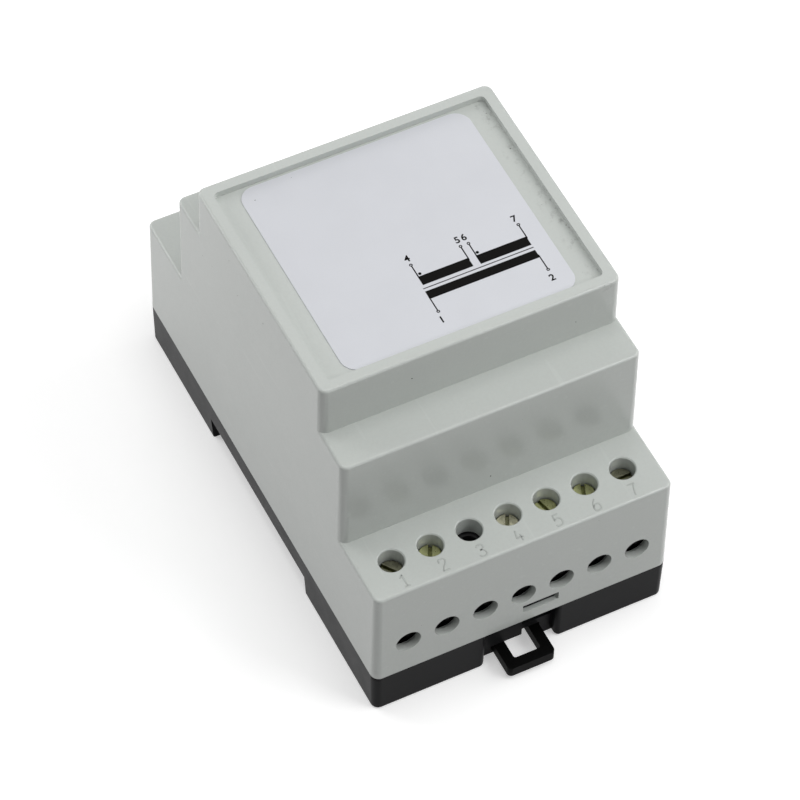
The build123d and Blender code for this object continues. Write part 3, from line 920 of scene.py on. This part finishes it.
def seen_rays(tree):
    """One on the rays that show the stage itself, to the camera or in gloss and glass."""
    path = tree.nodes.new("ShaderNodeLightPath")
    seen = path.outputs["Is Camera Ray"]
    for name in ("Is Glossy Ray", "Is Transmission Ray"):
        either = tree.nodes.new("ShaderNodeMath")
        either.operation = "MAXIMUM"
        tree.links.new(seen, either.inputs[0])
        tree.links.new(path.outputs[name], either.inputs[1])
        seen = either.outputs["Value"]
    return seen


def by_rays(tree, unseen, seen):
    """A value that differs between the stage as it is seen and as it lights the object."""
    level = tree.nodes.new("ShaderNodeMapRange")
    tree.links.new(seen_rays(tree), level.inputs["Value"])
    level.inputs["To Min"].default_value = unseen
    level.inputs["To Max"].default_value = seen
    return level.outputs["Result"]


def floor_material(bounce, white, lift):
    """Pale floor: white where lit, with the object's shadow, and open to a view from below."""
    material = bpy.data.materials.new("studio_white")
    material.use_nodes = True
    tree = material.node_tree
    tree.nodes.clear()
    output = tree.nodes.new("ShaderNodeOutputMaterial")
    diffuse = tree.nodes.new("ShaderNodeBsdfDiffuse")
    tree.links.new(by_rays(tree, bounce, white), diffuse.inputs["Color"])
    glow = tree.nodes.new("ShaderNodeEmission")
    glow.inputs["Color"].default_value = (1.0, 1.0, 1.0, 1.0)
    tree.links.new(by_rays(tree, 0.0, lift), glow.inputs["Strength"])
    both = tree.nodes.new("ShaderNodeAddShader")
    tree.links.new(diffuse.outputs["BSDF"], both.inputs[0])
    tree.links.new(glow.outputs["Emission"], both.inputs[1])
    open_below = tree.nodes.new("ShaderNodeMixShader")
    side = tree.nodes.new("ShaderNodeNewGeometry")
    tree.links.new(side.outputs["Backfacing"], open_below.inputs["Fac"])
    tree.links.new(both.outputs["Shader"], open_below.inputs[1])
    clear = tree.nodes.new("ShaderNodeBsdfTransparent")
    tree.links.new(clear.outputs["BSDF"], open_below.inputs[2])
    tree.links.new(open_below.outputs["Shader"], output.inputs["Surface"])
    return material


def world_light(strength):
    """Even light from all round, seen as plain white."""
    world = bpy.data.worlds.new("studio_air")
    bpy.context.scene.world = world
    world.use_nodes = True
    tree = world.node_tree
    background = tree.nodes["Background"]
    background.inputs["Color"].default_value = (1.0, 1.0, 1.0, 1.0)
    tree.links.new(by_rays(tree, strength, 1.0), background.inputs["Strength"])


# Fitted to the photograph: where the camera stands, seen from the middle of the case
camera_azimuth = radians(-27.62)
camera_elevation = radians(52.526)
camera_roll = radians(1.38)
camera_place = (-193.57, -368.86, 560.05)


def place_camera(lens):
    """Sets the camera with its roll, looking at the case as in the photograph."""
    az, el, roll = camera_azimuth, camera_elevation, camera_roll
    back = Vector((sin(az) * cos(el), -cos(az) * cos(el), sin(el)))
    right = Vector((cos(az), sin(az), 0))
    up = right.cross(-back)
    across = right * cos(roll) + up * sin(roll)
    along = up * cos(roll) - right * sin(roll)
    data = bpy.data.cameras.new("photo_camera")
    data.lens = lens
    data.sensor_width = 36.0
    data.clip_start = 0.01
    data.clip_end = 20.0
    camera = bpy.data.objects.new("photo_camera", data)
    bpy.context.scene.collection.objects.link(camera)
    axes = Matrix((across, along, back)).transposed().to_4x4()
    camera.matrix_world = Matrix.Translation(case_point(*camera_place)) @ axes
    bpy.context.scene.camera = camera


# Panel and registration
steps = (
    "transformer.cover", "transformer.base", "transformer.latch", "transformer.spring",
    "transformer.deck_numbers", "transformer.label", "transformer.schematic",
    "transformer.screws", "transformer.inside", "transformer.stage",
)


class TRANSFORMER_PT_panel(bpy.types.Panel):
    bl_idname = "TRANSFORMER_PT_panel"
    bl_label = "Rail transformer"
    bl_space_type = "VIEW_3D"
    bl_region_type = "UI"
    bl_category = "Transformer"

    def draw(self, context):
        for settings in (case_settings(), print_settings(), stage_settings()):
            box = self.layout.box()
            for name in settings.__annotations__:
                box.prop(settings, name)
        for step in steps:
            self.layout.operator(step)


classes = (
    TransformerCase, TransformerPrint, TransformerStage,
    TRANSFORMER_OT_cover, TRANSFORMER_OT_base, TRANSFORMER_OT_latch, TRANSFORMER_OT_spring,
    TRANSFORMER_OT_deck_numbers, TRANSFORMER_OT_label, TRANSFORMER_OT_schematic,
    TRANSFORMER_OT_screws, TRANSFORMER_OT_inside, TRANSFORMER_OT_stage, TRANSFORMER_PT_panel,
)


def register():
    for item in classes:
        bpy.utils.register_class(item)
    scene = bpy.types.Scene
    scene.transformer_case = bpy.props.PointerProperty(type=TransformerCase)
    scene.transformer_print = bpy.props.PointerProperty(type=TransformerPrint)
    scene.transformer_stage = bpy.props.PointerProperty(type=TransformerStage)


def unregister():
    scene = bpy.types.Scene
    del scene.transformer_stage, scene.transformer_print, scene.transformer_case
    for item in reversed(classes):
        bpy.utils.unregister_class(item)


def main():
    register()
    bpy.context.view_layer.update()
    bpy.ops.transformer.cover()
    bpy.ops.transformer.base()
    bpy.ops.transformer.latch()
    bpy.ops.transformer.spring()
    bpy.ops.transformer.deck_numbers()
    bpy.ops.transformer.label()
    bpy.ops.transformer.schematic()
    bpy.ops.transformer.screws()
    bpy.ops.transformer.inside()
    bpy.ops.transformer.stage()


if __name__ == "__main__":
    main()
